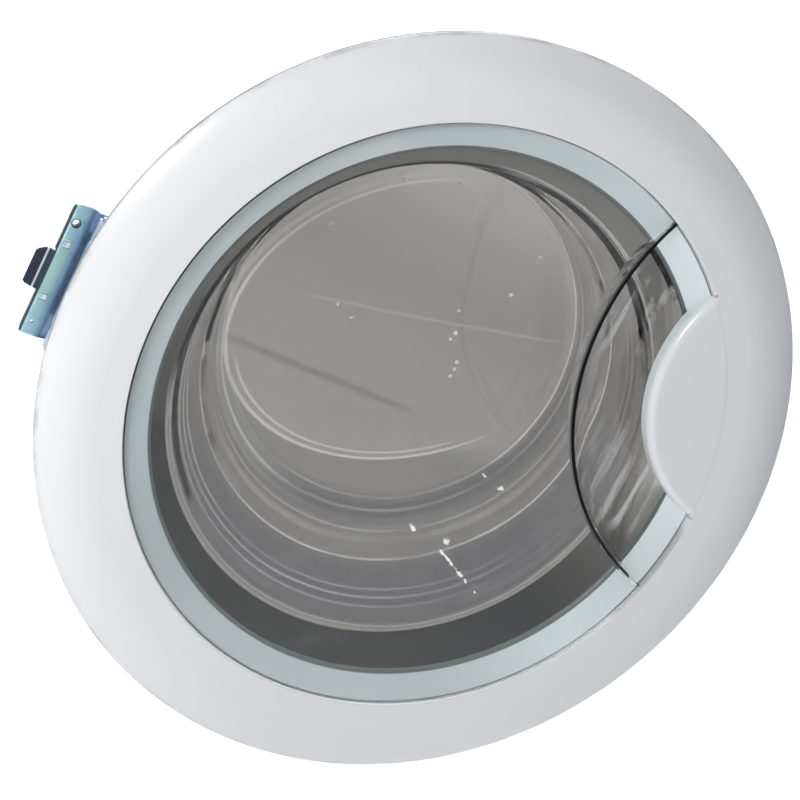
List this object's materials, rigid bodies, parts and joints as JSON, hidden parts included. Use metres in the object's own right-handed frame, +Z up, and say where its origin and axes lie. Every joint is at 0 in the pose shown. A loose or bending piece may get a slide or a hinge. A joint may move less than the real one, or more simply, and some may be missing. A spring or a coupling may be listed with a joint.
{
  "type": "washing machine door",
  "caption": "Round porthole door of a front-loading washing machine: white ring with a recessed finger grip, clear cover, glass bowl, dark back frame, catch hook and side hinge.",
  "frame": {"origin": "on the axis of the door's round eye, in the plane of the back frame's rear face, which the machine's bellows seal closes on", "axes": "+Y points into the machine, along the eye's axis, so the face looks along -Y; +Z is up with the door hung; +X is to the right seen from the front, towards the grip, with the hinge at -X"},
  "size_m": [0.4782, 0.1095, 0.46],
  "materials": {
    "white_moulding": "white ABS, smooth gloss",
    "clear_moulding": "clear acrylic, polished",
    "bowl_glass": "pressed clear glass, fire polished",
    "dark_moulding": "dark grey filled polypropylene, fine texture",
    "bright_zinc": "bright zinc plated steel",
    "blue_zinc": "blue passivated zinc plated sheet steel",
    "spring_wire": "plain spring steel",
    "natural_nylon": "natural nylon"
  },
  "bodies": {
    "hinge_leaf": {"hinge_leaf": "blue_zinc", "hinge_pin": "bright_zinc"},
    "door": {"outer_ring": "white_moulding", "clear_cover": "clear_moulding", "inner_frame": "dark_moulding", "glass_bowl": "bowl_glass", "frame_screws": "bright_zinc", "lever_pin": "bright_zinc", "pin_clips": "spring_wire", "lever_spring": "spring_wire", "hook_pin": "bright_zinc", "hook_spring": "spring_wire", "hook_guide": "natural_nylon", "guide_screws": "bright_zinc", "hinge_bushes": "natural_nylon", "hinge_arm": "blue_zinc", "hinge_backing": "bright_zinc", "hinge_screws": "bright_zinc"},
    "lever": {"handle_lever": "white_moulding"},
    "hook": {"catch_hook": "bright_zinc"}
  },
  "joints": [
    {"name": "door_hinge", "type": "hinge", "parent": "hinge_leaf", "child": "door", "pos_m": [-0.2235, -0.023, 0], "axis": [0, 0, -1], "range_deg": [0, 125]},
    {"name": "lever_pivot", "type": "hinge", "parent": "door", "child": "lever", "pos_m": [0.17415, -0.028, 0.08084], "axis": [-0.421, 0, 0.907], "range_deg": [0, 11], "stiffness_Nm_per_rad": 1, "springref_deg": -17.19, "deforming": ["lever_spring"]},
    {"name": "hook_pivot", "type": "hinge", "parent": "door", "child": "hook", "pos_m": [0.1805, -0.013, 0.08379], "axis": [-0.421, 0, 0.907], "range_deg": [0, 16], "stiffness_Nm_per_rad": 0.3, "springref_deg": -17.19, "deforming": ["hook_spring"]}
  ],
  "couplings": [
    {"joint": "hook_pivot", "follows": "lever_pivot", "ratio": 1.4}
  ]
}
